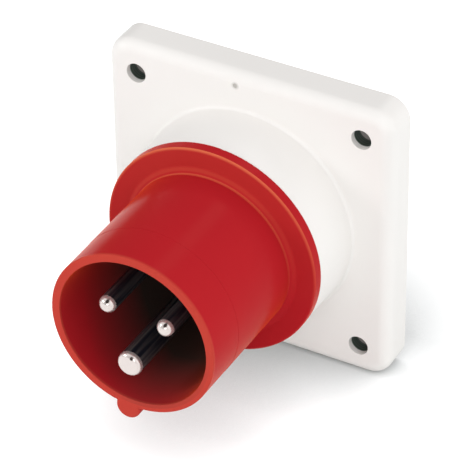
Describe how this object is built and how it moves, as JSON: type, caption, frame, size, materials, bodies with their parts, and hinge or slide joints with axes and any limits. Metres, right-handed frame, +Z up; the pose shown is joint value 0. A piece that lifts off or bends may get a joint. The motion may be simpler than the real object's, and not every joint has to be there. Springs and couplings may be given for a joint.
{
  "type": "pin and sleeve inlet",
  "caption": "Panel inlet for pin and sleeve connectors: square white plate with round boss, red sleeve with key rib, and contact pins in a dark carrier.",
  "frame": {"origin": "centre of the four fixing holes, in the plane of the plate's back face", "axes": "-Y out of the panel, along the sleeve; +Z up; the key rib points down"},
  "size_m": [0.076, 0.0786, 0.076],
  "materials": {
    "plate_plastic": "white moulded polyamide, satin",
    "sleeve_plastic": "red moulded polyamide, semi-gloss",
    "carrier_plastic": "black moulded thermoset",
    "gasket_rubber": "dark moulded rubber",
    "plated_contact": "nickel-plated brass, polished",
    "screw_steel": "zinc-plated steel"
  },
  "bodies": {
    "inlet": {"mounting_plate": "plate_plastic", "panel_gasket": "gasket_rubber", "screw_bushes": "gasket_rubber", "sleeve": "sleeve_plastic", "sleeve_seal": "gasket_rubber", "contact_carrier": "carrier_plastic", "carrier_seal": "gasket_rubber", "terminal_housing": "carrier_plastic", "pin_line_left": "plated_contact", "pin_line_right": "plated_contact", "pin_earth": "plated_contact", "sleeve_screw_1": "screw_steel", "sleeve_screw_2": "screw_steel", "sleeve_screw_3": "screw_steel", "sleeve_screw_4": "screw_steel", "housing_screw_1": "screw_steel", "housing_screw_2": "screw_steel", "housing_screw_3": "screw_steel"},
    "screw_line_left": {"terminal_screw_line_left": "screw_steel"},
    "screw_line_right": {"terminal_screw_line_right": "screw_steel"},
    "screw_earth": {"terminal_screw_earth": "screw_steel"}
  },
  "joints": [
    {"name": "terminal_screw_line_left_slide", "type": "slide", "parent": "inlet", "child": "screw_line_left", "axis": [-0.8171, 0, 0.5764], "range_m": [-0.0028, 0]},
    {"name": "terminal_screw_line_right_slide", "type": "slide", "parent": "inlet", "child": "screw_line_right", "axis": [0.9078, 0, 0.4195], "range_m": [-0.0028, 0]},
    {"name": "terminal_screw_earth_slide", "type": "slide", "parent": "inlet", "child": "screw_earth", "axis": [-0.0906, 0, -0.9959], "range_m": [-0.0028, 0]}
  ]
}
